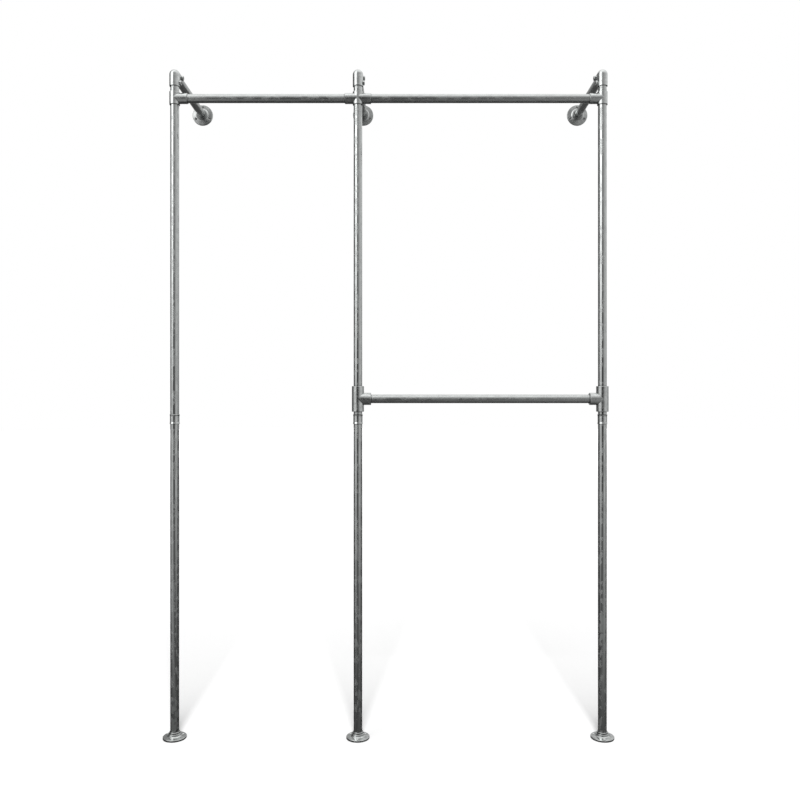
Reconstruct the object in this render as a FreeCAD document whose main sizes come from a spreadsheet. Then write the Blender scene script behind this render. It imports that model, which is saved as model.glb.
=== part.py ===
import FreeCAD, Part
import os
from types import SimpleNamespace

import Sketcher

# Pipe clothes rack for a walk-in closet, fixed to a floor and a wall.
# Three posts carry two top rails, and a mid rail slides on the two right-hand posts.
# +X runs along the rails, +Y towards the wall, +Z up. The origin is on the floor under the rack's middle.

# Driving dimensions in millimetres.
SIZES = {
    # The pipe that every post, rail and arm is cut from.
    "tube_diameter": 26.9,
    "tube_wall": 2.6,
    # Layout of the three posts, and their distance from the wall.
    "bay_left": 575.0,
    "bay_right": 767.0,
    "wall_distance": 350.0,
    # Heights along a post: floor to coupling, coupling to top rail, and the bare neck above the top rail.
    "coupling_height": 1000.0,
    "upper_rise": 1005.8,
    "neck_length": 16.8,
    # Radial gaps of a pipe in a slip-on socket, in a screwed hub and on a spigot.
    "socket_clearance": 0.3,
    "thread_clearance": 0.15,
    "spigot_clearance": 0.15,
    # Gap between the end of a rail and the post it meets.
    "rail_end_gap": 1.0,
    # Coupling between lower and upper post: a waisted collar with a spigot into each pipe.
    "coupling_length": 30.0,
    "waist_step": 0.95,
    "bead_step": 2.0,
    "bead_taper": 5.0,
    "spigot_length": 25.0,
    "spigot_wall": 3.0,
    # Tees and cross of the top rails.
    "top_wall": 2.45,
    "top_run": 41.0,
    "top_arm_length": 24.8,
    # Tees of the mid rail, with a thicker and longer run.
    "mid_wall": 5.25,
    "mid_run": 80.0,
    "mid_arm_length": 22.0,
    "mid_gap": 8.5,
    # Elbow from post to wall arm.
    "elbow_wall": 2.45,
    "socket_depth": 21.8,
    "stop_gap": 1.55,
    # Bevel of every rim, and the bosses that hold the set screws.
    "rim_edge": 0.8,
    "boss_diameter": 14.5,
    "boss_height": 5.0,
    "boss_inset": 12.0,
    # Set screws with a hexagon socket.
    "screw_diameter": 8.0,
    "screw_clearance": 0.1,
    "screw_gap": 0.3,
    "screw_recess": 0.6,
    "hex_width": 4.0,
    "hex_depth": 3.5,
    # Round flange with a stepped hub and countersunk holes.
    "hub_wall": 2.7,
    "hub_step": 2.7,
    "hub_lower_rise": 6.0,
    "hub_upper_rise": 5.0,
    "flange_width": 17.25,
    "flange_rim": 6.0,
    "flange_slope": 1.5,
    "foot_width": 3.4,
    "foot_rise": 2.5,
    "flange_seat": 4.0,
    "hole_edge": 8.25,
    "hole_diameter": 5.8,
    "countersink_diameter": 10.5,
}

HOLES_PER_FLANGE = 3
HEX_SIDES = 6
HEX_CORNER_PER_WIDTH = 0.57735
FULL_TURN = 360.0
HALF_TURN = 180.0
QUARTER_TURN = 90.0
CUT_MARGIN = 1.0
SAME_PLACE = 0.001

# Numbers of a sketch element's points, and of the sketch's own axes.
START_INDEX = 1
END_INDEX = 2
CENTRE_INDEX = 3
HORIZONTAL_AXIS_INDEX = -1
VERTICAL_AXIS_INDEX = -2

AXIS_X = FreeCAD.Vector(1, 0, 0)
AXIS_Y = FreeCAD.Vector(0, 1, 0)
AXIS_Z = FreeCAD.Vector(0, 0, 1)
UPRIGHT = FreeCAD.Rotation()
ALONG_X = FreeCAD.Rotation(AXIS_Y, QUARTER_TURN)
AGAINST_X = FreeCAD.Rotation(AXIS_Y, -QUARTER_TURN)
ALONG_Y = FreeCAD.Rotation(AXIS_X, -QUARTER_TURN)
AGAINST_Y = FreeCAD.Rotation(AXIS_X, QUARTER_TURN)
HALF_ROUND = FreeCAD.Rotation(AXIS_Z, HALF_TURN)


class Formula:
    """A length kept both as a number and as the spreadsheet formula that gives it."""

    def __init__(self, text, value):
        self.text = text
        self.value = value

    @staticmethod
    def of(amount):
        if isinstance(amount, Formula):
            return amount
        return Formula(str(amount), float(amount))

    def __add__(self, other):
        other = Formula.of(other)
        return Formula(f"({self.text} + {other.text})", self.value + other.value)

    def __sub__(self, other):
        other = Formula.of(other)
        return Formula(f"({self.text} - {other.text})", self.value - other.value)

    def __mul__(self, other):
        other = Formula.of(other)
        return Formula(f"({self.text} * {other.text})", self.value * other.value)

    def __truediv__(self, other):
        other = Formula.of(other)
        return Formula(f"({self.text} / {other.text})", self.value / other.value)

    def __neg__(self):
        return self * -1


doc = FreeCAD.newDocument("pipe_closet_rack")
sheet = doc.addObject("Spreadsheet::Sheet", "Sizes")
for row, (alias, number) in enumerate(SIZES.items(), start=1):
    sheet.set(f"A{row}", alias)
    sheet.set(f"B{row}", str(number))
    sheet.setAlias(f"B{row}", alias)
doc.recompute()

size = SimpleNamespace(**{alias: Formula(f"Sizes.{alias}", number) for alias, number in SIZES.items()})

# Radii that the pieces share.
tube_radius = size.tube_diameter / 2
tube_bore = tube_radius - size.tube_wall
socket_bore = tube_radius + size.socket_clearance
top_radius = socket_bore + size.top_wall
mid_radius = socket_bore + size.mid_wall
elbow_radius = socket_bore + size.elbow_wall
thread_bore = tube_radius + size.thread_clearance
hub_radius = thread_bore + size.hub_wall
hub_lower_radius = hub_radius + size.hub_step
flange_radius = hub_lower_radius + size.flange_width
boss_radius = size.boss_diameter / 2
screw_radius = size.screw_diameter / 2

# Reach of each fitting from its own centre.
top_arm = top_radius + size.top_arm_length
mid_arm = mid_radius + size.mid_arm_length
elbow_stop = tube_radius + size.stop_gap
elbow_reach = elbow_stop + size.socket_depth
elbow_screw_inset = elbow_reach - size.boss_inset

# Places of the posts, and the heights along them.
half_width = (size.bay_left + size.bay_right) / 2
post_x = {
    "left": -half_width,
    "middle": size.bay_left - half_width,
    "right": half_width,
}
post_y = (flange_radius - size.wall_distance) / 2
wall_y = (flange_radius + size.wall_distance) / 2
coupling_bottom = size.coupling_height - size.coupling_length / 2
coupling_top = size.coupling_height + size.coupling_length / 2
mid_z = coupling_top + size.mid_gap + size.mid_run / 2
rail_z = size.coupling_height + size.upper_rise
arm_z = rail_z + size.top_run / 2 + size.neck_length + elbow_reach

sub_parts = []


def bind(thing, **formulas):
    """Tie properties of an object to spreadsheet formulas."""
    for name, formula in formulas.items():
        thing.setExpression(name, Formula.of(formula).text)


def put(thing, x, y, z, rotation=UPRIGHT):
    """Turn an object, then tie its place to spreadsheet formulas."""
    thing.Placement = FreeCAD.Placement(FreeCAD.Vector(), rotation)
    for axis, formula in zip("xyz", (x, y, z)):
        thing.setExpression(f"Placement.Base.{axis}", Formula.of(formula).text)


def finish(thing, node):
    """Name a finished sub-part and add it to the rack."""
    thing.Label = node
    sub_parts.append(thing)


def new_body(node):
    """Start the body of one sub-part."""
    return doc.addObject("PartDesign::Body", node)


def new_sketch(body, role, name):
    """Start a sketch on one of the body's own origin planes."""
    sketch = body.newObject("Sketcher::SketchObject", name)
    plane = next(feature for feature in body.Origin.OriginFeatures if feature.Role == role)
    sketch.AttachmentSupport = (plane, [""])
    sketch.MapMode = "FlatFace"
    return sketch


def pin_point(sketch, element, point, across, up):
    """Hold one point of a sketch element at its place, measured from the sketch's origin."""
    holds = (("DistanceX", VERTICAL_AXIS_INDEX, across), ("DistanceY", HORIZONTAL_AXIS_INDEX, up))
    for kind, axis, amount in holds:
        if not isinstance(amount, Formula):
            sketch.addConstraint(Sketcher.Constraint("PointOnObject", element, point, axis))
            continue
        held = Sketcher.Constraint(kind, HORIZONTAL_AXIS_INDEX, START_INDEX, element, point, amount.value)
        index = sketch.addConstraint(held)
        sketch.setExpression(f"Constraints[{index}]", amount.text)


def draw_outline(sketch, corners):
    """Draw a closed outline of straight edges. A bare zero puts a corner on the sketch's axis."""
    places = []
    for across, up in corners:
        places.append(FreeCAD.Vector(Formula.of(across).value, Formula.of(up).value, 0))
    count = len(corners)
    first = sketch.GeometryCount
    edges = [Part.LineSegment(places[i], places[(i + 1) % count]) for i in range(count)]
    sketch.addGeometry(edges, False)
    for i in range(count):
        following = first + (i + 1) % count
        sketch.addConstraint(Sketcher.Constraint("Coincident", first + i, END_INDEX, following, START_INDEX))
    for i, (across, up) in enumerate(corners):
        pin_point(sketch, first + i, START_INDEX, across, up)


def draw_circle(sketch, radius, across=0, up=0):
    """Draw a circle whose radius and centre follow the spreadsheet."""
    centre = FreeCAD.Vector(Formula.of(across).value, Formula.of(up).value, 0)
    element = sketch.addGeometry(Part.Circle(centre, AXIS_Z, radius.value), False)
    pin_point(sketch, element, CENTRE_INDEX, across, up)
    index = sketch.addConstraint(Sketcher.Constraint("Radius", element, radius.value))
    sketch.setExpression(f"Constraints[{index}]", radius.text)


def revolve(body, kind, name, role, axis, corners):
    """Revolve an outline about an axis of its sketch, to add (Revolution) or to cut (Groove)."""
    sketch = new_sketch(body, role, f"{name}_outline")
    draw_outline(sketch, corners)
    feature = body.newObject(f"PartDesign::{kind}", name)
    feature.Profile = sketch
    feature.ReferenceAxis = (sketch, [axis])
    feature.Angle = FULL_TURN
    return feature


def upright_run(body, radius, run):
    """Add the upright barrel of a tee or cross, with both rims bevelled."""
    half = run / 2
    inner = radius - size.rim_edge
    straight = half - size.rim_edge
    corners = [
        (0, -half),
        (inner, -half),
        (radius, -straight),
        (radius, straight),
        (inner, half),
        (0, half),
    ]
    revolve(body, "Revolution", "run", "XZ_Plane", "V_Axis", corners)


def level_arm(body, name, role, radius, reach, side):
    """Add a level barrel from the fitting's centre, with its outer rim bevelled."""
    corners = [
        (0, 0),
        (0, radius),
        ((reach - size.rim_edge) * side, radius),
        (reach * side, radius - size.rim_edge),
        (reach * side, 0),
    ]
    revolve(body, "Revolution", name, role, "H_Axis", corners)


def upright_bore(body, name, role, radius, low, high):
    """Cut a round hole along the fitting's upright axis."""
    corners = [(0, low), (radius, low), (radius, high), (0, high)]
    revolve(body, "Groove", name, role, "V_Axis", corners)


def level_bore(body, name, role, radius, near, far):
    """Cut a round hole along the fitting's level axis."""
    corners = [(near, 0), (near, radius), (far, radius), (far, 0)]
    revolve(body, "Groove", name, role, "H_Axis", corners)


def screw_bosses(body, role, places, reach, outwards):
    """Add one round boss for each set screw and bevel its rim."""
    sketch = new_sketch(body, role, "boss_circles")
    for across, up in places:
        draw_circle(sketch, boss_radius, across, up)
    pad = body.newObject("PartDesign::Pad", "bosses")
    pad.Profile = sketch
    pad.Reversed = outwards
    bind(pad, Length=reach)
    doc.recompute()
    rims = []
    for number, edge in enumerate(pad.Shape.Edges, start=1):
        if edge.Degenerated or not isinstance(edge.Curve, Part.Circle):
            continue
        centre = edge.Curve.Center
        depth = abs(centre.y if role == "XZ_Plane" else centre.x)
        if abs(depth - reach.value) < SAME_PLACE:
            rims.append(f"Edge{number}")
    bevel = body.newObject("PartDesign::Chamfer", "boss_rims")
    bevel.Base = (pad, rims)
    bind(bevel, Size=size.rim_edge)


def screw_holes(body, role, places, reach, inwards):
    """Cut the set-screw holes from the fitting's centre plane out through the bosses."""
    sketch = new_sketch(body, role, "screw_circles")
    for across, up in places:
        draw_circle(sketch, screw_radius + size.screw_clearance, across, up)
    pocket = body.newObject("PartDesign::Pocket", "screw_holes")
    pocket.Profile = sketch
    pocket.Reversed = inwards
    bind(pocket, Length=reach + CUT_MARGIN)


def slip_fitting(node, x, z, radius, run, arm, sides, run_screws):
    """Make a tee or cross that slips over a post, with an arm on each given side."""
    body = new_body(node)
    upright_run(body, radius, run)
    for side in sides:
        level_arm(body, f"arm_{side}", "XZ_Plane", radius, arm, side)
    places = slip_screw_places(arm, sides, run_screws)
    boss_reach = radius + size.boss_height
    screw_bosses(body, "XZ_Plane", places, boss_reach, True)
    half = run / 2 + CUT_MARGIN
    upright_bore(body, "post_bore", "XZ_Plane", socket_bore, -half, half)
    for side in sides:
        level_bore(body, f"rail_bore_{side}", "XZ_Plane", socket_bore, 0, (arm + CUT_MARGIN) * side)
    screw_holes(body, "XZ_Plane", places, boss_reach, False)
    put(body, x, post_y, z)
    finish(body, node)


def slip_screw_places(arm, sides, run_screws):
    """List the set screws of a tee or cross, across and up from its centre."""
    places = [(0, up) for up in run_screws]
    places += [((arm - size.boss_inset) * side, 0) for side in sides]
    return places


def elbow(node, x, side):
    """Make the domed elbow from a post to its wall arm, with its two screws on the given side."""
    body = new_body(node)
    leg_end = -elbow_reach
    leg = [
        (0, leg_end),
        (elbow_radius - size.rim_edge, leg_end),
        (elbow_radius, leg_end + size.rim_edge),
        (elbow_radius, 0),
        (0, 0),
    ]
    revolve(body, "Revolution", "post_leg", "YZ_Plane", "V_Axis", leg)
    level_arm(body, "arm_leg", "YZ_Plane", elbow_radius, elbow_reach, 1)
    dome = body.newObject("PartDesign::AdditiveSphere", "dome")
    bind(dome, Radius=elbow_radius)
    places = [(0, -elbow_screw_inset), (elbow_screw_inset, 0)]
    boss_reach = elbow_radius + size.boss_height
    screw_bosses(body, "YZ_Plane", places, boss_reach, side < 0)
    upright_bore(body, "post_socket", "YZ_Plane", socket_bore, leg_end - CUT_MARGIN, -elbow_stop)
    upright_bore(body, "post_passage", "YZ_Plane", tube_bore, -elbow_stop - CUT_MARGIN, 0)
    level_bore(body, "arm_socket", "YZ_Plane", socket_bore, elbow_stop, elbow_reach + CUT_MARGIN)
    level_bore(body, "arm_passage", "YZ_Plane", tube_bore, 0, elbow_stop + CUT_MARGIN)
    screw_holes(body, "YZ_Plane", places, boss_reach, side > 0)
    put(body, x, post_y, arm_z)
    finish(body, node)


def tube(node, length, x, y, z, rotation):
    """Cut a length of pipe that starts at the given place."""
    body = new_body(node)
    sketch = new_sketch(body, "XY_Plane", "section")
    draw_circle(sketch, tube_radius)
    draw_circle(sketch, tube_bore)
    pad = body.newObject("PartDesign::Pad", "length")
    pad.Profile = sketch
    bind(pad, Length=length)
    put(body, x, y, z, rotation)
    finish(body, node)


def coupling(node, x):
    """Turn the waisted collar that joins the two lengths of a post, with a spigot at each end."""
    half = size.coupling_length / 2
    tip = half + size.spigot_length
    spigot = tube_bore - size.spigot_clearance
    hollow = spigot - size.spigot_wall
    waist = tube_radius + size.waist_step
    bead = tube_radius + size.bead_step
    bead_end = half - size.rim_edge
    waist_end = bead_end - size.bead_taper
    upper = [
        (waist, waist_end),
        (bead, bead_end),
        (bead - size.rim_edge, half),
        (spigot, half),
        (spigot, tip),
        (hollow, tip),
    ]
    lower = [(across, -up) for across, up in reversed(upper)]
    body = new_body(node)
    revolve(body, "Revolution", "collar", "XZ_Plane", "V_Axis", lower + upper)
    put(body, x, post_y, size.coupling_height)
    finish(body, node)


def flange(node, x, y, z, rotation):
    """Turn a round flange with a stepped hub and drill its countersunk holes."""
    foot = size.flange_rim + size.flange_slope
    hub_base = foot + size.foot_rise
    hub_shoulder = hub_base + size.hub_lower_rise
    hub_top = hub_shoulder + size.hub_upper_rise
    outline = [
        (tube_bore, 0),
        (flange_radius, 0),
        (flange_radius, size.flange_rim - size.rim_edge),
        (flange_radius - size.rim_edge, size.flange_rim),
        (hub_lower_radius + size.foot_width, foot),
        (hub_lower_radius, hub_base),
        (hub_lower_radius, hub_shoulder - size.rim_edge),
        (hub_lower_radius - size.rim_edge, hub_shoulder),
        (hub_radius, hub_shoulder),
        (hub_radius, hub_top - size.rim_edge),
        (hub_radius - size.rim_edge, hub_top),
        (thread_bore, hub_top),
        (thread_bore, size.flange_seat),
        (tube_bore, size.flange_seat),
    ]
    body = new_body(node)
    disc = revolve(body, "Revolution", "disc", "YZ_Plane", "V_Axis", outline)
    hole_place = flange_radius - size.hole_edge
    plate_width = size.flange_width - size.foot_width
    plate_top = size.flange_rim + size.flange_slope * size.hole_edge / plate_width
    wide = hole_place + size.countersink_diameter / 2
    narrow = hole_place + size.hole_diameter / 2
    cone_start = plate_top - (wide - narrow)
    hole = [
        (hole_place, Formula.of(-CUT_MARGIN)),
        (narrow, Formula.of(-CUT_MARGIN)),
        (narrow, cone_start),
        (wide, plate_top),
        (wide, foot + CUT_MARGIN),
        (hole_place, foot + CUT_MARGIN),
    ]
    sketch = new_sketch(body, "YZ_Plane", "hole_outline")
    draw_outline(sketch, hole)
    hole_axis = f"Edge{len(hole)}"
    drilled = body.newObject("PartDesign::Groove", "hole")
    drilled.Profile = sketch
    drilled.ReferenceAxis = (sketch, [hole_axis])
    drilled.Angle = FULL_TURN
    doc.recompute()
    pattern = body.newObject("PartDesign::PolarPattern", "holes")
    pattern.Originals = [drilled]
    pattern.Axis = (disc.Profile[0], ["V_Axis"])
    pattern.Angle = FULL_TURN
    pattern.Occurrences = HOLES_PER_FLANGE
    body.Tip = pattern
    put(body, x, y, z, rotation)
    finish(body, node)


def set_screws(node, barrel_radius, places, rotation):
    """Make the set screws of one fitting, each from its tip near the pipe out to its hexagon socket."""
    length = barrel_radius + size.boss_height - size.screw_recess - tube_radius - size.screw_gap
    screws = []
    for x, y, z in places:
        shank = doc.addObject("Part::Cylinder", f"{node}_shank")
        bind(shank, Radius=screw_radius, Height=length)
        socket = doc.addObject("Part::Prism", f"{node}_socket")
        socket.Polygon = HEX_SIDES
        bind(socket, Circumradius=size.hex_width * HEX_CORNER_PER_WIDTH, Height=size.hex_depth + CUT_MARGIN)
        put(socket, 0, 0, length - size.hex_depth)
        screw = doc.addObject("Part::Cut", f"{node}_screw")
        screw.Base = shank
        screw.Tool = socket
        put(screw, x, y, z, rotation)
        screws.append(screw)
    group = doc.addObject("Part::Compound", node)
    group.Links = screws
    finish(group, node)


def slip_screws(node, x, z, barrel_radius, arm, sides, run_screws):
    """Make the set screws of a tee or cross, which all point to the wall."""
    tip = post_y + tube_radius + size.screw_gap
    places = []
    for across, up in slip_screw_places(arm, sides, run_screws):
        places.append((x + across, tip, z + up))
    set_screws(node, barrel_radius, places, ALONG_Y)


def elbow_screws(node, x, side):
    """Make the two set screws of an elbow, which point along the rails."""
    tip = x + (tube_radius + size.screw_gap) * side
    places = [(tip, post_y, arm_z - elbow_screw_inset), (tip, post_y + elbow_screw_inset, arm_z)]
    set_screws(node, elbow_radius, places, ALONG_X if side > 0 else AGAINST_X)


def post(name):
    """Make one post from its floor flange up to the coupling and on into the elbow."""
    x = post_x[name]
    flange(f"floor_flange_{name}", x, post_y, 0, HALF_ROUND)
    lower = coupling_bottom - size.flange_seat
    tube(f"lower_post_{name}", lower, x, post_y, size.flange_seat, UPRIGHT)
    coupling(f"coupling_{name}", x)
    tube(f"upper_post_{name}", arm_z - elbow_stop - coupling_top, x, post_y, coupling_top, UPRIGHT)


def wall_arm(name, side):
    """Make one arm from the elbow on its post back to the wall flange."""
    x = post_x[name]
    elbow(f"elbow_{name}", x, side)
    elbow_screws(f"elbow_screws_{name}", x, side)
    length = size.wall_distance - elbow_stop - size.flange_seat
    tube(f"wall_arm_{name}", length, x, post_y + elbow_stop, arm_z, ALONG_Y)
    flange(f"wall_flange_{name}", x, wall_y, arm_z, AGAINST_Y)


def rail(node, start, end, z):
    """Make one rail between two posts, given by name."""
    setback = tube_radius + size.rail_end_gap
    length = post_x[end] - post_x[start] - setback * 2
    tube(node, length, post_x[start] + setback, post_y, z, ALONG_X)


def top_fitting(kind, name, sides):
    """Make the tee or cross that carries the top rails on one post."""
    x = post_x[name]
    slip_fitting(f"top_{kind}_{name}", x, rail_z, top_radius, size.top_run, top_arm, sides, [0])
    slip_screws(f"top_{kind}_screws_{name}", x, rail_z, top_radius, top_arm, sides, [0])


def mid_tee(name, side):
    """Make the sliding tee that carries the mid rail on one post."""
    x = post_x[name]
    up = size.mid_run / 2 - size.boss_inset
    slip_fitting(f"mid_tee_{name}", x, mid_z, mid_radius, size.mid_run, mid_arm, [side], [-up, up])
    slip_screws(f"mid_tee_screws_{name}", x, mid_z, mid_radius, mid_arm, [side], [-up, up])


def check_and_export():
    """Stop if any object failed or any sub-part is not a valid solid, then write each sub-part."""
    doc.recompute()
    failed = [thing.Name for thing in doc.Objects if {"Invalid", "Error"} & set(thing.State)]
    if failed:
        raise RuntimeError(f"failed objects: {failed}")
    for thing in sub_parts:
        shape = thing.Shape
        if shape.isNull() or not shape.isValid() or not shape.Solids:
            raise RuntimeError(f"{thing.Label} has no valid solid")
    os.makedirs("parts", exist_ok=True)
    for thing in sub_parts:
        thing.Shape.exportStep(f"parts/{thing.Label}.step")


for post_name in post_x:
    post(post_name)
wall_arm("left", 1)
wall_arm("middle", 1)
wall_arm("right", -1)
top_fitting("tee", "left", [1])
top_fitting("cross", "middle", [-1, 1])
top_fitting("tee", "right", [-1])
rail("top_rail_left", "left", "middle", rail_z)
rail("top_rail_right", "middle", "right", rail_z)
mid_tee("middle", 1)
mid_tee("right", -1)
rail("mid_rail", "middle", "right", mid_z)
check_and_export()
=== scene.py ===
"""Looks of an open clothes rack of galvanised pipe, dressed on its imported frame.

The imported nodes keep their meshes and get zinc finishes. The set screws are worked out anew, with thread,
cup point and hexagon socket. A camera, a pale floor and a tent of lit cloth stand round the rack. Lengths
are in metres, and every piece is worked out where it stands.
"""

import logging
import math
from dataclasses import dataclass, replace
from enum import Enum
from typing import Any

import bpy
import numpy as np
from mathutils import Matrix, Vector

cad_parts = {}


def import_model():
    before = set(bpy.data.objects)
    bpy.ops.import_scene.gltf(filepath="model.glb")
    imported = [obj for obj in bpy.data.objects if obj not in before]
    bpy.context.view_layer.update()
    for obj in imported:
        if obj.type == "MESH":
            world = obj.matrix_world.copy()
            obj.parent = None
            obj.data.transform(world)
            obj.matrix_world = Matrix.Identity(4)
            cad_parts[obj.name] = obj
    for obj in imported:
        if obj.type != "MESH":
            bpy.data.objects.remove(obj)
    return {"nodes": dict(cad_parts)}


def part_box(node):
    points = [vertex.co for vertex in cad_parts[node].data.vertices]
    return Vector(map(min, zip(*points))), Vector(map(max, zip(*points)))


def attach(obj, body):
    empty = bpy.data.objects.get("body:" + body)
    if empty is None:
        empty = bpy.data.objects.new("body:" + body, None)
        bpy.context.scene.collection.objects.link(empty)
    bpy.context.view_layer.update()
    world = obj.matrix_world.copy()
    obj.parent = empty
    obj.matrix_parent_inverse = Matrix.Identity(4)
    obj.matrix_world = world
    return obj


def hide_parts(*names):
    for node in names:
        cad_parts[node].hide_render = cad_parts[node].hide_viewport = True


LOG = logging.getLogger("rack")
MILLIMETRE = 0.001
FULL_TURN = 2.0 * math.pi
QUARTER_TURN = FULL_TURN / 4.0
NOISE_ROUGHNESS = 0.55

Colour = tuple[float, float, float, float]
Triple = tuple[float, float, float]
Pair = tuple[float, float]


class Side(Enum):
    """The three posts of the rack, seen from the front."""

    LEFT = "left"
    MIDDLE = "middle"
    RIGHT = "right"


class Axis(Enum):
    """The direction that a piece runs in, as the index of its coordinate."""

    ALONG_RAILS = 0
    TO_WALL = 1
    UPRIGHT = 2


class Body(Enum):
    """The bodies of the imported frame."""

    RACK = "rack"
    SLIDING = "sliding_rail"


class Slot(Enum):
    """A material slot's name for new pieces, which nothing in this script fills."""

    SCREW = "set_screw"


class Layout(Enum):
    """Where a group's screws stand, as shares of the group's box in its two cross directions."""

    ELBOW = ((0.0, 0.0), (1.0, 1.0))
    TOP_TEE = ((0.0, 0.5), (1.0, 0.5))
    CROSS = ((0.0, 0.5), (0.5, 0.5), (1.0, 0.5))
    MID_TEE_MIDDLE = ((0.0, 0.0), (0.0, 1.0), (1.0, 0.5))
    MID_TEE_RIGHT = ((1.0, 0.0), (1.0, 1.0), (0.0, 0.5))


class NodeBoard:
    """A material's nodes, laid out by short calls."""

    def __init__(self, name: str) -> None:
        """Start a material that has no nodes yet."""
        self.material = bpy.data.materials.new(name)
        self.material.use_nodes = True
        self.tree = self.material.node_tree
        self.tree.nodes.clear()

    def fill(self, socket: bpy.types.NodeSocket, value: Any) -> None:
        """Join another node's output to an input, or set the input's own value."""
        if isinstance(value, bpy.types.NodeSocket):
            self.tree.links.new(value, socket)
        else:
            socket.default_value = value

    def add(self, kind: str, inputs: dict[Any, Any] | None = None, **settings: Any) -> bpy.types.Node:
        """Add a node, set its properties and fill its inputs.

        Args:
            kind: Blender's name of the node, without the ShaderNode that it starts with.
            inputs: Values, or outputs of other nodes, by the input's name or place.
            settings: Properties of the node itself.

        Returns:
            The new node.
        """
        node = self.tree.nodes.new(f"ShaderNode{kind}")
        for key, value in settings.items():
            setattr(node, key, value)
        for key, value in (inputs or {}).items():
            self.fill(node.inputs[key], value)
        return node

    def math(self, operation: str, *amounts: Any) -> bpy.types.NodeSocket:
        """Work out one number from others.

        Args:
            operation: The Math node's operation.
            amounts: Numbers or outputs, in the order of the node's inputs.

        Returns:
            The result's output.
        """
        return self.add("Math", dict(enumerate(amounts)), operation=operation).outputs[0]

    def spread(self, value: Any, given: Pair, wanted: tuple[Any, Any]) -> bpy.types.NodeSocket:
        """Carry a range of numbers over to another, held at its ends.

        Args:
            value: The output to carry over.
            given: The ends of its range.
            wanted: What the ends become.

        Returns:
            The result's output.
        """
        return self.add("MapRange", dict(enumerate((value, *given, *wanted))), clamp=True).outputs[0]

    def blend(self, share: Any, first: Any, second: Any) -> bpy.types.NodeSocket:
        """Mix two colours.

        Args:
            share: How much of the second colour shows.
            first: The colour at share 0.
            second: The colour at share 1.

        Returns:
            The mixed colour's output.
        """
        node = self.add("Mix", data_type="RGBA")
        colours = [socket for socket in node.inputs if socket.type == "RGBA"]
        for socket, value in zip((node.inputs[0], *colours), (share, first, second)):
            self.fill(socket, value)
        return next(socket for socket in node.outputs if socket.type == "RGBA")

    def moved(self, place: bpy.types.NodeSocket, shift: Triple, scale: Triple) -> bpy.types.NodeSocket:
        """Shift and scale coordinates.

        Args:
            place: The coordinates.
            shift: How far they move after scaling.
            scale: What they are multiplied by.

        Returns:
            The new coordinates.
        """
        return self.add("Mapping", {"Vector": place, "Location": shift, "Scale": scale}).outputs[0]

    def noise(self, place: bpy.types.NodeSocket, size: float, detail: float) -> bpy.types.NodeSocket:
        """Add a cloud of noise.

        Args:
            place: The coordinates that it reads.
            size: The size of its largest patches.
            detail: How many finer layers it holds.

        Returns:
            The noise, from 0 to 1.
        """
        settings = {"Vector": place, "Scale": 1.0 / size, "Detail": detail, "Roughness": NOISE_ROUGHNESS}
        return self.add("TexNoise", settings).outputs[0]

    def surface(self, shader: bpy.types.NodeSocket) -> bpy.types.Material:
        """Join the finished shader to the output and give the material."""
        self.add("OutputMaterial", {"Surface": shader})
        return self.material


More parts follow.
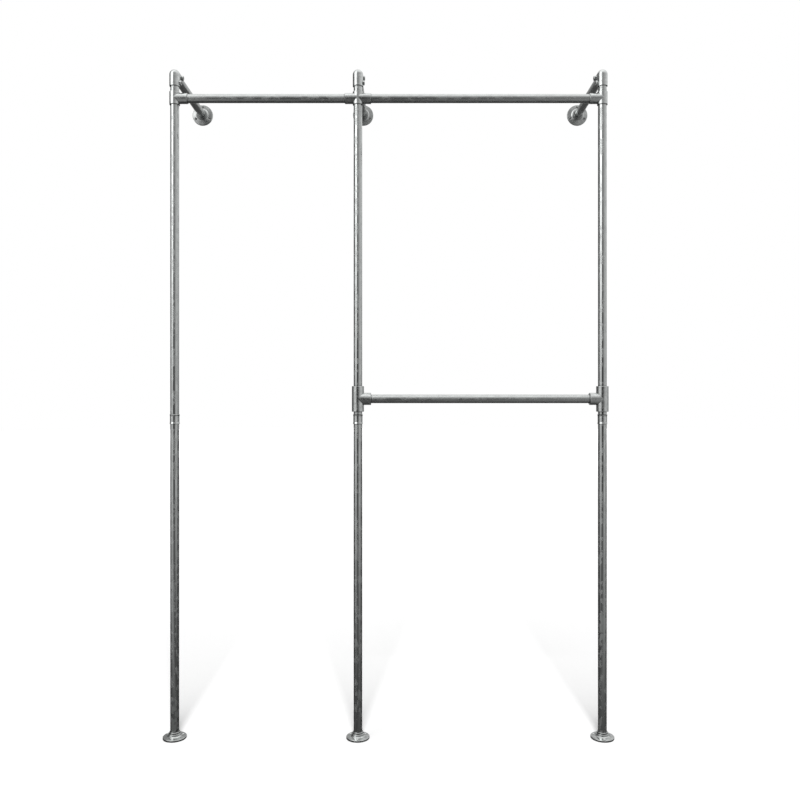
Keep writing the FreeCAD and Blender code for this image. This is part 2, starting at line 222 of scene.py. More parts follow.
@dataclass(frozen=True)
class ZincFinish:
    """Zinc on metal, in patches, crystals and grain that differ in tone, gloss and relief.

    Attributes:
        name: The material's name.
        dull: Colour of the weathered patches.
        bright: Colour of the clean metal.
        smooth: Roughness of the glossy patches.
        rough: Roughness of the dull patches.
        patch: Size of a patch across.
        crystal: Size of a zinc crystal.
        grain: Size of the finest grain.
        streak: Width of the lines that drawing or turning leaves along the piece.
        draw: How many times longer a patch is along the piece than across it.
        along: The direction that the piece runs in.
        relief: Height of the ripples that go with the patches.
        pits: Height of the finest grain.
        wear: Width of the band along an edge that is rubbed bright.
        painted_shade_depth: Depth of the crevices where the colour is darkened as painted shade.
        streak_draw: How many times longer a streak is along the piece than across it.
        crystal_share: How much the crystals add to the tone.
        grain_share: How much the grain adds to tone, gloss and relief.
        streak_share: How much the streaks add to them.
        tone_range: The tones that show dull and bright.
        gloss_range: The gloss that shows smooth and rough.
        apart: How far the cloud of the gloss lies from the cloud of the tone.
        tone_detail: Finer layers in the cloud of the tone.
        gloss_detail: Finer layers in the cloud of the gloss.
        fine_detail: Finer layers in grain and streaks.
        wear_match: How well the normals match where wear starts and where it is full.
        wear_samples: Rays that look for edges.
        painted_shade_open: How open a crevice is where the painted shade is full and where it ends.
        painted_shade_scale: What the colour is multiplied by there, as painted shade.
        painted_shade_samples: Rays that look into crevices for the painted shade.
    """

    name: str
    dull: Colour
    bright: Colour
    smooth: float
    rough: float
    patch: float
    crystal: float
    grain: float
    streak: float
    draw: float
    along: Axis
    relief: float
    pits: float
    wear: float = 0.9 * MILLIMETRE
    painted_shade_depth: float = 5.0 * MILLIMETRE
    streak_draw: float = 60.0
    crystal_share: float = 0.18
    grain_share: float = 0.06
    streak_share: float = 0.05
    tone_range: Pair = (0.45, 0.85)
    gloss_range: Pair = (0.53, 0.61)
    apart: Triple = (3.0, 5.0, 7.0)
    tone_detail: float = 4.0
    gloss_detail: float = 3.0
    fine_detail: float = 2.0
    wear_match: Pair = (0.995, 0.90)
    wear_samples: int = 4
    painted_shade_open: Pair = (0.45, 0.95)
    painted_shade_scale: Pair = (0.25, 1.0)
    painted_shade_samples: int = 6

    def drawn_out(self, times: float) -> Triple:
        """Give the scale of coordinates that draws a pattern out along the piece."""
        scale = [1.0, 1.0, 1.0]
        scale[self.along.value] = 1.0 / times
        return tuple(scale)

    def make(self) -> bpy.types.Material:
        """Lay out the finish's nodes.

        Tone is cloud plus shares of crystal, grain and streak. Roughness steps between smooth and rough
        where a second cloud, plus shares of grain and streak, passes a narrow range.

        Returns:
            The material.
        """
        board = NodeBoard(self.name)
        place = board.add("TexCoord").outputs["Object"]
        drawn = board.moved(place, (0.0, 0.0, 0.0), self.drawn_out(self.draw))
        apart = board.moved(place, self.apart, self.drawn_out(self.draw))
        combed = board.moved(place, (0.0, 0.0, 0.0), self.drawn_out(self.streak_draw))
        cloud = board.noise(drawn, self.patch, self.tone_detail)
        other_cloud = board.noise(apart, self.patch, self.gloss_detail)
        grain = board.noise(place, self.grain, self.fine_detail)
        streak = board.noise(combed, self.streak, self.fine_detail)
        cells = board.add("TexVoronoi", {"Vector": drawn, "Scale": 1.0 / self.crystal})
        crystal = board.add("SeparateColor", {0: cells.outputs["Color"]}).outputs[0]
        fine = board.math("MULTIPLY", grain, self.grain_share)
        fine = board.math("MULTIPLY_ADD", streak, self.streak_share, fine)
        tone = board.math("ADD", board.math("MULTIPLY_ADD", crystal, self.crystal_share, cloud), fine)
        worn = self.worn_edges(board)
        colour = board.blend(board.spread(tone, self.tone_range, (0.0, 1.0)), self.dull, self.bright)
        # Painted shade: the colour is darkened in narrow crevices, where shade falls.
        colour = self.with_painted_shade(board, board.blend(worn, colour, self.bright))
        gloss = board.math("ADD", other_cloud, fine)
        roughness = board.spread(gloss, self.gloss_range, (self.smooth, self.rough))
        roughness = board.spread(worn, (0.0, 1.0), (roughness, self.smooth))
        ripple = board.add("Bump", {"Height": other_cloud, "Distance": self.relief}).outputs[0]
        pits = board.add("Bump", {"Height": fine, "Distance": self.pits, "Normal": ripple}).outputs[0]
        metal = board.add("BsdfPrincipled", {
            "Base Color": colour, "Metallic": 1.0, "Roughness": roughness, "Normal": pits,
        })
        return board.surface(metal.outputs[0])

    def worn_edges(self, board: NodeBoard) -> bpy.types.NodeSocket:
        """Find the edges that hands and tools rub bright: where a rounded normal turns from the true one.

        Args:
            board: The material's nodes.

        Returns:
            A mask, 1 on the edges.
        """
        rounded = board.add("Bevel", {"Radius": self.wear}, samples=self.wear_samples).outputs[0]
        true = board.add("NewGeometry").outputs["Normal"]
        match = board.add("VectorMath", {0: rounded, 1: true}, operation="DOT_PRODUCT").outputs["Value"]
        return board.spread(match, self.wear_match, (0.0, 1.0))

    def with_painted_shade(self, board: NodeBoard, colour: bpy.types.NodeSocket) -> bpy.types.NodeSocket:
        """Paint shade into a colour: darken it in narrow crevices, where shade falls.

        Args:
            board: The material's nodes.
            colour: The colour before the painted shade.

        Returns:
            The colour with painted shade.
        """
        # Painted shade: ambient occlusion darkens the colour in crevices, where shade falls.
        near = board.add("AmbientOcclusion", {"Distance": self.painted_shade_depth}, samples=self.painted_shade_samples)
        shade = board.spread(near.outputs["AO"], self.painted_shade_open, self.painted_shade_scale)
        return board.add("VectorMath", {0: colour, "Scale": shade}, operation="SCALE").outputs[0]


@dataclass(frozen=True)
class GlowFinish:
    """A self-lit cloth of the light tent, whose brightness is painted on its points.

    Attributes:
        name: The material's name.
        layer: The name of the painted brightness.
    """

    name: str
    layer: str = "glow"

    def make(self) -> bpy.types.Material:
        """Lay out the finish's nodes and give the material."""
        board = NodeBoard(self.name)
        glow = board.add("Attribute", attribute_name=self.layer).outputs["Fac"]
        lit = board.add("Emission", {"Strength": glow})
        board.material.cycles.emission_sampling = "NONE"
        return board.surface(lit.outputs[0])


@dataclass(frozen=True)
class FloorFinish:
    """Pale floor that keeps the rack's shadow and is lifted to white where it is seen as background.

    Attributes:
        name: The material's name.
        paint: The floor's own colour.
        lifts: The light added, by the distance from the posts, where the lamp reaches less and less.
        front_reach: Distances in front of the posts between which the lamp's light ends.
        front_lift: The light added there.
        side_reach: Narrowed distances to the sides between which the lamp's light ends.
        side_lift: The light added there.
        posts: How far the posts stand in front of the frame's origin.
        narrow: What distances along the rails are multiplied by.
    """

    name: str = "pale_floor"
    paint: Colour = (0.53, 0.53, 0.53, 1.0)
    lifts: tuple[Pair, ...] = ((0.0, 0.0), (2.4, 0.32), (10.0, 0.68), (25.0, 0.90))
    front_reach: Pair = (3.0, 4.4)
    front_lift: float = 0.25
    side_reach: Pair = (1.25, 3.5)
    side_lift: float = 0.40
    posts: float = 0.157
    narrow: float = 0.5

    def make(self) -> bpy.types.Material:
        """Lay out the finish's nodes and give the material."""
        board = NodeBoard(self.name)
        path = board.add("LightPath").outputs
        seen = board.math("MAXIMUM", path["Is Camera Ray"], path["Is Glossy Ray"])
        seen = board.math("MAXIMUM", seen, path["Is Transmission Ray"])
        place = board.add("TexCoord").outputs["Object"]
        place = board.moved(place, (0.0, self.posts, 0.0), (self.narrow, 1.0, 1.0))
        away = board.add("VectorMath", {0: place}, operation="LENGTH").outputs["Value"]
        across = board.add("SeparateXYZ", {0: place}).outputs
        forward = board.math("MULTIPLY", across[1], -1.0)
        sideways = board.math("ABSOLUTE", across[0])
        front = board.spread(forward, self.front_reach, (0.0, self.front_lift))
        lift = board.math("ADD", front, board.spread(sideways, self.side_reach, (0.0, self.side_lift)))
        for (start, low), (end, high) in zip(self.lifts, self.lifts[1:]):
            lift = board.math("ADD", lift, board.spread(away, (start, end), (0.0, high - low)))
        lift = board.math("MULTIPLY", seen, lift)
        matt = board.add("BsdfDiffuse", {"Color": self.paint})
        glow = board.add("Emission", {"Strength": lift})
        return board.surface(board.add("AddShader", {0: matt.outputs[0], 1: glow.outputs[0]}).outputs[0])


@dataclass(frozen=True)
class HoleShadeFinish:
    """Matt wall that shows from the room and not from behind, painted dark grey as shade in the flanges'
    screw holes.

    Attributes:
        name: The material's name.
        paint: The wall's colour, dark grey: painted shade on top of the real shade in the screw holes.
    """

    name: str = "hole_shade_paint"
    # Dark grey, darker than a pale wall: painted shade for the screw holes.
    paint: Colour = (0.30, 0.30, 0.30, 1.0)

    def make(self) -> bpy.types.Material:
        """Lay out the finish's nodes and give the material."""
        board = NodeBoard(self.name)
        behind = board.add("NewGeometry").outputs["Backfacing"]
        matt = board.add("BsdfDiffuse", {"Color": self.paint}).outputs[0]
        clear = board.add("BsdfTransparent").outputs[0]
        return board.surface(board.add("MixShader", {0: behind, 1: matt, 2: clear}).outputs[0])


PIPE_ZINC = ZincFinish(
    name="pipe_zinc",
    dull=(0.615, 0.63, 0.625, 1.0),
    bright=(0.70, 0.725, 0.715, 1.0),
    smooth=0.05,
    rough=0.40,
    patch=13.0 * MILLIMETRE,
    crystal=5.0 * MILLIMETRE,
    grain=1.2 * MILLIMETRE,
    streak=0.7 * MILLIMETRE,
    draw=2.0,
    along=Axis.UPRIGHT,
    relief=0.03 * MILLIMETRE,
    pits=0.02 * MILLIMETRE,
)

RUBBED_ZINC = replace(PIPE_ZINC, name="rubbed_zinc", smooth=0.23, rough=0.38, along=Axis.ALONG_RAILS)

CAST_ZINC = ZincFinish(
    name="cast_zinc",
    dull=(0.60, 0.615, 0.61, 1.0),
    bright=(0.82, 0.845, 0.835, 1.0),
    smooth=0.16,
    rough=0.27,
    patch=9.0 * MILLIMETRE,
    crystal=4.0 * MILLIMETRE,
    grain=0.9 * MILLIMETRE,
    streak=0.9 * MILLIMETRE,
    draw=1.0,
    along=Axis.UPRIGHT,
    relief=0.02 * MILLIMETRE,
    pits=0.02 * MILLIMETRE,
    streak_draw=1.5,
)

SCREW_STEEL = ZincFinish(
    name="screw_steel",
    dull=(0.16, 0.165, 0.165, 1.0),
    bright=(0.42, 0.43, 0.43, 1.0),
    smooth=0.22,
    rough=0.42,
    patch=2.5 * MILLIMETRE,
    crystal=1.0 * MILLIMETRE,
    grain=0.3 * MILLIMETRE,
    streak=0.2 * MILLIMETRE,
    draw=1.0,
    along=Axis.UPRIGHT,
    relief=0.01 * MILLIMETRE,
    pits=0.004 * MILLIMETRE,
    wear=0.25 * MILLIMETRE,
    # Depth of the crevices where the screw's colour is darkened as painted shade.
    painted_shade_depth=1.5 * MILLIMETRE,
    streak_draw=1.5,
)


def new_object(
    name: str, points: np.ndarray, faces: np.ndarray, sharp: float | None = None
) -> bpy.types.Object:
    """Put worked-out points and faces into a new mesh object at the origin, shaded smooth.

    Args:
        name: The object's name.
        points: Places of the points.
        faces: Point numbers of the faces, one row each.
        sharp: The angle in radians beyond which an edge stays sharp, if any does.

    Returns:
        The object, linked to the scene.
    """
    mesh = bpy.data.meshes.new(name)
    mesh.from_pydata(points.reshape(-1, 3), [], faces.tolist())
    mesh.polygons.foreach_set("use_smooth", np.ones(len(mesh.polygons), bool))
    if sharp is not None:
        mesh.set_sharp_from_angle(angle=sharp)
    mesh.update()
    thing = bpy.data.objects.new(name, mesh)
    bpy.context.scene.collection.objects.link(thing)
    return thing


def grid_faces(rows: int, columns: int) -> np.ndarray:
    """Number the corners of the quads of a grid whose columns close into a ring.

    Args:
        rows: Rings of points.
        columns: Points in a ring.

    Returns:
        One row of four point numbers for each quad.
    """
    row, column = np.meshgrid(np.arange(rows - 1), np.arange(columns), indexing="ij")
    following = (column + 1) % columns
    low = row * columns
    high = low + columns
    return np.stack([low + column, low + following, high + following, high + column], -1).reshape(-1, 4)


@dataclass
class Palette:
    """The finishes, each made once.

    Attributes:
        pipes: The pipe's zinc, by the direction that the pipe runs in.
        rubbed: The rails' zinc, which hangers rub to an even gloss.
        casting: The zinc of the fittings and flanges.
        screw: The steel of the set screws.
    """

    pipes: dict[Axis, bpy.types.Material]
    rubbed: bpy.types.Material
    casting: bpy.types.Material
    screw: bpy.types.Material

    @classmethod
    def mixed(cls) -> "Palette":
        """Make every finish and give the palette."""
        pipes = {}
        for axis in (Axis.TO_WALL, Axis.UPRIGHT):
            pipes[axis] = replace(PIPE_ZINC, name=f"{PIPE_ZINC.name}_{axis.name.lower()}", along=axis).make()
        return cls(pipes, RUBBED_ZINC.make(), CAST_ZINC.make(), SCREW_STEEL.make())


@dataclass
class SubAssembly:
    """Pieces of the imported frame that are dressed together.

    Attributes:
        nodes: The frame's objects by name.
        palette: The finishes.
    """

    nodes: dict[str, bpy.types.Object]
    palette: Palette

    def dress(self, node: str, material: bpy.types.Material) -> None:
        """Give one node its finish.

        Args:
            node: The node's name.
            material: The finish.
        """
        materials = self.nodes[node].data.materials
        materials.clear()
        materials.append(material)
        LOG.info("%s: %s", node, material.name)


@dataclass
class Post(SubAssembly):
    """One post: flange, two lengths of pipe, coupling, top fitting, elbow, arm and wall flange.

    Attributes:
        side: Which post it is.
        fitting: The kind of its top fitting.
    """

    side: Side
    fitting: str

    def build(self) -> None:
        """Give the post's nodes their finishes."""
        name = self.side.value
        for piece in ("lower_post", "upper_post"):
            self.dress(f"{piece}_{name}", self.palette.pipes[Axis.UPRIGHT])
        self.dress(f"wall_arm_{name}", self.palette.pipes[Axis.TO_WALL])
        for piece in ("floor_flange", "coupling", f"top_{self.fitting}", "elbow", "wall_flange"):
            self.dress(f"{piece}_{name}", self.palette.casting)


@dataclass
class Rails(SubAssembly):
    """The two top rails, and the mid rail with its sliding tees.

    Attributes:
        rails: Names of the rails.
        tees: The posts that carry a sliding tee.
    """

    rails: tuple[str, ...] = ("top_rail_left", "top_rail_right", "mid_rail")
    tees: tuple[Side, ...] = (Side.MIDDLE, Side.RIGHT)

    def build(self) -> None:
        """Give the rails and tees their finishes."""
        for rail in self.rails:
            self.dress(rail, self.palette.rubbed)
        for side in self.tees:
            self.dress(f"mid_tee_{side.value}", self.palette.casting)


@dataclass(frozen=True)
class ScrewGroup:
    """The set screws of one fitting.

    Attributes:
        node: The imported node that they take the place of.
        layout: Where they stand in the node's box.
        axis: The direction that they run in.
        outwards: 1 if the socket points up that axis, -1 if it points down it.
        body: The body that they move with.
    """

    node: str
    layout: Layout
    axis: Axis
    outwards: float
    body: Body


SCREW_GROUPS = (
    ScrewGroup("elbow_screws_left", Layout.ELBOW, Axis.ALONG_RAILS, 1.0, Body.RACK),
    ScrewGroup("elbow_screws_middle", Layout.ELBOW, Axis.ALONG_RAILS, 1.0, Body.RACK),
    ScrewGroup("elbow_screws_right", Layout.ELBOW, Axis.ALONG_RAILS, -1.0, Body.RACK),
    ScrewGroup("top_tee_screws_left", Layout.TOP_TEE, Axis.TO_WALL, 1.0, Body.RACK),
    ScrewGroup("top_cross_screws_middle", Layout.CROSS, Axis.TO_WALL, 1.0, Body.RACK),
    ScrewGroup("top_tee_screws_right", Layout.TOP_TEE, Axis.TO_WALL, 1.0, Body.RACK),
    ScrewGroup("mid_tee_screws_middle", Layout.MID_TEE_MIDDLE, Axis.TO_WALL, 1.0, Body.SLIDING),
    ScrewGroup("mid_tee_screws_right", Layout.MID_TEE_RIGHT, Axis.TO_WALL, 1.0, Body.SLIDING),
)


@dataclass
class SetScrews(SubAssembly):
    """Threaded set screws with a cup point and a hexagon socket, in place of the plain imported ones.

    Attributes:
        radius: Radius over the thread's crests.
        thread_depth: Depth of the thread.
        pitch: Rise of the thread in one turn.
        crest: Share of the pitch that the flat crest takes.
        cup_radius: Radius of the ring that bites into the pipe.
        cup_depth: Depth of the hollow inside that ring.
        cup_slope: How far the cone above that ring widens for its rise.
        bevel: Height of the bevel at the outer end.
        hex_width: Width of the socket across its flats.
        hex_sides: How many flats it has.
        hex_depth: Depth of the socket's flats.
        hex_point: Depth of the drilled point below them.
        columns: Points in a ring.
        rings_per_pitch: Rings along one turn of the thread.
        sharp: Angle beyond which an edge stays sharp.
    """

    radius: float = 4.0 * MILLIMETRE
    thread_depth: float = 0.60 * MILLIMETRE
    pitch: float = 1.25 * MILLIMETRE
    crest: float = 0.2
    cup_radius: float = 2.2 * MILLIMETRE
    cup_depth: float = 0.7 * MILLIMETRE
    cup_slope: float = 2.0
    bevel: float = 0.7 * MILLIMETRE
    hex_width: float = 4.0 * MILLIMETRE
    hex_sides: int = 6
    hex_depth: float = 3.5 * MILLIMETRE
    hex_point: float = 0.5 * MILLIMETRE
    columns: int = 36
    rings_per_pitch: int = 8
    sharp: float = math.radians(40.0)

    def build(self) -> None:
        """Make the screws of every group."""
        for group in SCREW_GROUPS:
            self.make_group(group)

    def make_group(self, group: ScrewGroup) -> None:
        """Make one group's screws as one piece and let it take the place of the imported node.

        Args:
            group: The group.
        """
        low, high = (np.array(corner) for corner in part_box(group.node))
        along = group.axis.value
        cross = [axis.value for axis in Axis if axis is not group.axis]
        length = high[along] - low[along]
        radius, height = self.shape(length)
        angle = np.linspace(0.0, FULL_TURN, self.columns, endpoint=False)
        screw = np.zeros((*radius.shape, 3))
        screw[..., cross[0]] = radius * np.cos(angle)
        screw[..., cross[1]] = radius * np.sin(angle)
        screw[..., along] = height if group.outwards > 0.0 else length - height
        starts = np.tile(low, (len(group.layout.value), 1))
        room = high[cross] - low[cross] - 2.0 * self.radius
        starts[:, cross] += self.radius + np.array(group.layout.value) * room
        points = starts[:, None, None, :] + screw
        one = grid_faces(*radius.shape)
        handed = one if self.turns_right(cross, along, group.outwards) else one[:, ::-1]
        faces = handed + np.arange(len(starts))[:, None, None] * radius.size
        piece = new_object(f"{group.node}_threaded", points, faces.reshape(-1, 4), self.sharp)
        piece.data.materials.append(self.palette.screw)
        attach(piece, group.body.value)
        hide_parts(group.node)
        LOG.info("%s: %d threaded screws", group.node, len(starts))

    @staticmethod
    def turns_right(cross: list[int], along: int, outwards: float) -> bool:
        """Tell whether the grid's faces point outwards as numbered.

        Args:
            cross: Indices of the two cross directions.
            along: Index of the screw's direction.
            outwards: Which way along it the socket points.

        Returns:
            True if they do, False if their order has to be turned round.
        """
        frame = np.eye(3)
        turn = np.dot(np.cross(frame[cross[0]], frame[cross[1]]), frame[along])
        return turn * outwards > 0.0

    def shape(self, length: float) -> tuple[np.ndarray, np.ndarray]:
        """Work out the radius and height of every point of one screw, from its cup to its socket's floor.

        The thread's radius falls from the crest by its depth, over and back once in each pitch, and the
        phase runs on by one turn round the screw. Bevels at both ends cut the thread off.

        Args:
            length: The screw's length.

        Returns:
            Radius and height, each with one row for each ring.
        """
        angle = np.linspace(0.0, FULL_TURN, self.columns, endpoint=False)
        rings = int(length / self.pitch * self.rings_per_pitch)
        rise = np.linspace(0.0, length, rings)[:, None]
        phase = (rise / self.pitch - angle / FULL_TURN) % 1.0
        flank = np.clip((1.0 - np.abs(2.0 * phase - 1.0) - self.crest) / (1.0 - self.crest), 0.0, 1.0)
        thread = self.radius - self.thread_depth * flank
        thread = np.minimum(thread, self.cup_radius + self.cup_slope * rise)
        thread = np.minimum(thread, self.radius - self.bevel + (length - rise))
        flat = FULL_TURN / self.hex_sides
        socket = self.hex_width / 2.0 / np.cos((angle % flat) - flat / 2.0)
        floor = length - self.hex_depth
        none = np.zeros_like(angle)
        radius = np.vstack([none, thread, socket, socket, none])
        ends = [np.full_like(angle, place) for place in (length, floor, floor - self.hex_point)]
        height = np.vstack([none + self.cup_depth, rise + none, *ends])
        return radius, height


@dataclass(frozen=True)
class TentStop:
    """Brightness of the light tent and of the floor's reflection in one direction.

    Attributes:
        azimuth: Degrees from the front, positive to the right.
        near: Brightness of the floor near the rack.
        ground: Brightness of the floor some way off.
        far: Brightness of the floor far off.
        level: Brightness of the wall at eye level.
        raised: Brightness of the wall where the roof starts.
    """

    azimuth: float
    near: float
    ground: float
    far: float
    level: float
    raised: float


TENT_STOPS = (
    TentStop(-180.0, 0.05, 0.07, 0.105, 0.36, 0.44),
    TentStop(-140.0, 0.03, 0.035, 0.055, 0.10, 0.10),
    TentStop(-98.0, 0.06, 0.05, 0.075, 0.11, 0.08),
    TentStop(-84.0, 0.16, 0.24, 0.36, 0.36, 0.45),
    TentStop(-72.0, 0.22, 0.36, 0.54, 0.60, 1.40),
    TentStop(-40.0, 0.24, 0.39, 0.57, 0.56, 2.50),
    TentStop(-28.0, 0.15, 0.24, 0.30, 0.28, 0.75),
    TentStop(-18.0, 0.11, 0.13, 0.12, 0.045, 0.50),
    TentStop(-12.0, 0.10, 0.11, 0.06, 0.01, 0.31),
    TentStop(-1.0, 0.095, 0.105, 0.06, 0.01, 0.26),
    TentStop(9.0, 0.095, 0.12, 0.10, 0.10, 0.30),
    TentStop(18.0, 0.10, 0.18, 0.22, 0.21, 0.36),
    TentStop(34.0, 0.15, 0.34, 0.51, 0.42, 0.44),
    TentStop(62.0, 0.20, 0.36, 0.54, 0.58, 0.58),
    TentStop(88.0, 0.10, 0.18, 0.27, 0.54, 0.66),
    TentStop(120.0, 0.04, 0.05, 0.075, 0.26, 0.80),
    TentStop(180.0, 0.05, 0.07, 0.105, 0.36, 0.44),
)


def by_direction(turn: np.ndarray, name: str) -> np.ndarray:
    """Give one of the stops' brightnesses in every direction, by straight steps between the stops.

    Args:
        turn: Azimuths in radians.
        name: The brightness's name among the fields of a stop.

    Returns:
        The brightness at each azimuth.
    """
    azimuths = [stop.azimuth for stop in TENT_STOPS]
    return np.interp(np.degrees(turn), azimuths, [getattr(stop, name) for stop in TENT_STOPS])


def paint_glow(thing: bpy.types.Object, glow: np.ndarray, finish: GlowFinish) -> None:
    """Paint a cloth's brightness on its points and give it its finish.

    Args:
        thing: The cloth.
        glow: The brightness of each point.
        finish: The finish that shows it.
    """
    layer = thing.data.attributes.new(finish.layer, "FLOAT", "POINT")
    layer.data.foreach_set("value", glow.astype(np.float32).ravel())
    thing.data.materials.append(finish.make())


@dataclass
class LightTent:
    """A round tent of lit cloth about rack and camera, which only reflections and light see.

    Attributes:
        radius: The tent's radius.
        centre: The point that its directions are taken from.
        columns: Points round the tent.
        rows: Rings from the floor to the top.
        lowest: Elevation of the lowest ring in degrees.
        roof_rise: Elevations between which the wall passes into the roof.
        roof: The roof's brightness.
    """

    radius: float = 27.0
    centre: Triple = (0.0, -0.157, 1.06)
    columns: int = 144
    rows: int = 60
    lowest: float = -8.0
    roof_rise: Pair = (20.0, 80.0)
    roof: float = 1.15

    def build(self) -> None:
        """Work out the tent as a ball of points by azimuth and elevation, and paint its brightness.

        The wall runs from its level to its raised brightness, and then by a smooth step on to the roof's.
        """
        azimuth = np.linspace(-math.pi, math.pi, self.columns, endpoint=False)
        elevation = np.radians(np.linspace(self.lowest, 90.0, self.rows))
        turn, rise = np.meshgrid(azimuth, elevation)
        outward = np.stack([np.sin(turn) * np.cos(rise), -np.cos(turn) * np.cos(rise), np.sin(rise)], -1)
        points = outward * self.radius + np.array(self.centre)
        tent = new_object("light_tent", points, grid_faces(self.rows, self.columns))
        level = by_direction(turn, "level")
        raised = by_direction(turn, "raised")
        start, full = self.roof_rise
        wall = level + (raised - level) * np.clip(np.degrees(rise) / start, 0.0, 1.0)
        share = np.clip((np.degrees(rise) - start) / (full - start), 0.0, 1.0)
        glow = wall + (self.roof - wall) * share * share * (3.0 - 2.0 * share)
        paint_glow(tent, glow, GlowFinish("tent_cloth"))
        tent.visible_camera = False


@dataclass
class FloorCard:
    """A dark card on the floor that only reflections see, darkest under the rack.

    Attributes:
        centre: Its middle, on the floor left of the middle post.
        under: Brightness right under the rack, where it is darkest.
        darkest: Where along the rails that is.
        narrow: What distances along the rails are multiplied by, close to the rack.
        near_reach: Distance of the stops' near brightness.
        ground_reach: Distance of the stops' ground brightness.
        far_reach: Distance of the stops' far brightness, which goes on to the rim.
        radius: The card's radius.
        height: How far it lies above the floor.
        columns: Points round it.
        rows: Rings from the middle out.
        first_ring: The first ring's place, as the root of its share of the radius.
    """

    centre: Triple = (-0.15, -0.157, 0.0)
    under: float = 0.055
    darkest: float = -0.6
    narrow: float = 0.4
    near_reach: float = 1.0
    ground_reach: float = 3.7
    far_reach: float = 7.5
    radius: float = 26.8
    height: float = 0.5 * MILLIMETRE
    columns: int = 144
    rows: int = 200
    first_ring: float = 0.01

    def build(self) -> None:
        """Work out the card as rings of points round its middle, and paint its brightness.

        The brightness runs in straight steps from under the rack to near, ground and far.
        """
        angle = np.linspace(-math.pi, math.pi, self.columns, endpoint=False)
        reach = self.radius * np.linspace(self.first_ring, 1.0, self.rows) ** 2
        turn, out = np.meshgrid(angle, reach)
        points = np.stack([np.sin(turn) * out, -np.cos(turn) * out, np.full_like(out, self.height)], -1)
        card = new_object("floor_card", points + np.array(self.centre), grid_faces(self.rows, self.columns))
        near = by_direction(turn, "near")
        ground = by_direction(turn, "ground")
        far = by_direction(turn, "far")
        aside = self.centre[0] + np.sin(turn) * out - self.darkest
        away = np.hypot(aside * self.narrow, np.cos(turn) * out)
        glow = self.under + (near - self.under) * np.clip(away / self.near_reach, 0.0, 1.0)
        onwards = (out - self.near_reach) / (self.ground_reach - self.near_reach)
        glow += (ground - near) * np.clip(onwards, 0.0, 1.0)
        beyond = (out - self.ground_reach) / (self.far_reach - self.ground_reach)
        glow += (far - ground) * np.clip(beyond, 0.0, 1.0)
        paint_glow(card, glow, GlowFinish("card_cloth"))
        card.visible_camera = False
        card.visible_diffuse = False
        card.visible_shadow = False


@dataclass
class Wall:
    """The bits of wall that show through the wall flanges' screw holes, to the camera only, dark grey as
    painted shade.

    Attributes:
        inset: How far a bit stays inside the rim of its flange.
        gap: How far it lies behind the flange.
        points: Points round a bit.
    """

    inset: float = 3.0 * MILLIMETRE
    gap: float = 0.2 * MILLIMETRE
    points: int = 64

    def build(self) -> None:
        """Set a round bit of wall behind every wall flange, facing the room."""
        angle = np.linspace(0.0, FULL_TURN, self.points, endpoint=False)
        ring = np.stack([np.cos(angle), np.zeros_like(angle), np.sin(angle)], -1)
        # Dark grey wall paint: painted shade in the screw holes, added to the real shade there.
        material = HoleShadeFinish().make()
        for side in Side:
            low, high = (np.array(corner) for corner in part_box(f"wall_flange_{side.value}"))
            middle = (low + high) / 2.0
            middle[Axis.TO_WALL.value] = high[Axis.TO_WALL.value] + self.gap
            radius = (high - low)[Axis.ALONG_RAILS.value] / 2.0 - self.inset
            bit = new_object(f"wall_{side.value}", middle + ring * radius, np.arange(self.points)[None, :])
            bit.data.materials.append(material)
            bit.visible_diffuse = False
            bit.visible_glossy = False
            bit.visible_transmission = False
            bit.visible_shadow = False


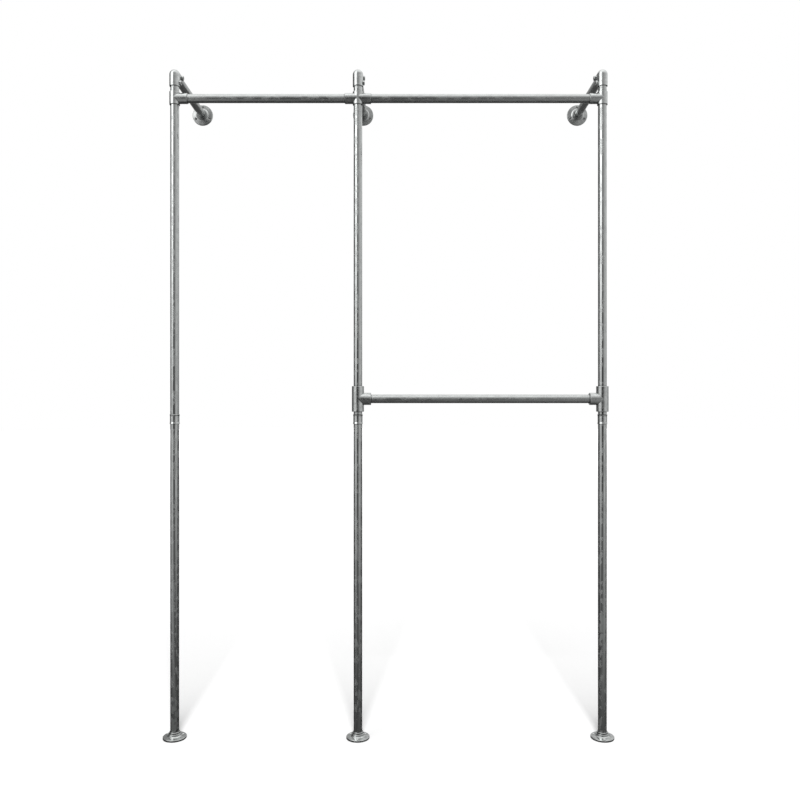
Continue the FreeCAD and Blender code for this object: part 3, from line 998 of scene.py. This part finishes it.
@dataclass
class Studio:
    """The pale floor, the soft lamp whose shadows fall on it, and the white background.

    Attributes:
        floor_radius: Radius of the floor.
        floor_points: Points round the floor.
        lamp_place: Where the middle of the lamp stands.
        lamp_width: The lamp's width along the rails.
        lamp_height: The lamp's height, upright.
        lamp_power: The lamp's power in watts.
        background: The background's colour.
        strength: The background's brightness.
    """

    floor_radius: float = 26.9
    floor_points: int = 96
    lamp_place: Triple = (0.09, -4.56, 5.0)
    lamp_width: float = 1.52
    lamp_height: float = 4.0
    lamp_power: float = 1000.0
    background: Colour = (1.0, 1.0, 1.0, 1.0)
    strength: float = 1.0

    def build(self) -> None:
        """Set up floor, lamp and background."""
        self.lay_floor()
        self.stand_lamp()
        self.set_background()

    def lay_floor(self) -> None:
        """Lay a round floor under the rack."""
        angle = np.linspace(0.0, FULL_TURN, self.floor_points, endpoint=False)
        rim = np.stack([np.cos(angle), np.sin(angle), np.zeros_like(angle)], -1) * self.floor_radius
        floor = new_object("floor", rim, np.arange(self.floor_points)[None, :])
        floor.data.materials.append(FloorFinish().make())

    def stand_lamp(self) -> None:
        """Stand an upright soft lamp in front, whose light draws the posts' shadows back across the floor."""
        light = bpy.data.lights.new("front_lamp", "AREA")
        light.shape = "RECTANGLE"
        light.size = self.lamp_width
        light.size_y = self.lamp_height
        light.energy = self.lamp_power
        lamp = bpy.data.objects.new("front_lamp", light)
        lamp.location = self.lamp_place
        lamp.rotation_euler = (QUARTER_TURN, 0.0, 0.0)
        lamp.visible_camera = False
        lamp.visible_glossy = False
        bpy.context.scene.collection.objects.link(lamp)

    def set_background(self) -> None:
        """Make the background plain white."""
        scene = bpy.context.scene
        scene.world = bpy.data.worlds.new("white_background")
        scene.world.use_nodes = True
        background = scene.world.node_tree.nodes["Background"]
        background.inputs["Color"].default_value = self.background
        background.inputs["Strength"].default_value = self.strength
        scene.view_settings.view_transform = "Standard"


@dataclass
class Viewpoint:
    """The camera, level and square to the rack.

    Attributes:
        place: Where it stands.
        lens: Focal length in millimetres.
        sensor: Sensor width in millimetres.
    """

    place: Triple = (0.036, -2.5985, 1.060)
    lens: float = 35.01
    sensor: float = 36.0

    def build(self) -> None:
        """Set up the camera and make it the scene's own."""
        camera = bpy.data.cameras.new("front_camera")
        camera.sensor_fit = "HORIZONTAL"
        camera.sensor_width = self.sensor
        camera.lens = self.lens
        stand = bpy.data.objects.new("front_camera", camera)
        stand.location = self.place
        stand.rotation_euler = (QUARTER_TURN, 0.0, 0.0)
        bpy.context.scene.collection.objects.link(stand)
        bpy.context.scene.camera = stand


def main() -> None:
    """Dress the rack, then set up the studio and the camera."""
    logging.basicConfig(level=logging.INFO, format="%(name)s: %(message)s")
    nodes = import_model()["nodes"]
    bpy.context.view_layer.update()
    palette = Palette.mixed()
    for side, fitting in ((Side.LEFT, "tee"), (Side.MIDDLE, "cross"), (Side.RIGHT, "tee")):
        Post(nodes, palette, side, fitting).build()
    Rails(nodes, palette).build()
    SetScrews(nodes, palette).build()
    for setting in (LightTent(), FloorCard(), Wall(), Studio(), Viewpoint()):
        setting.build()


if __name__ == "__main__":
    main()
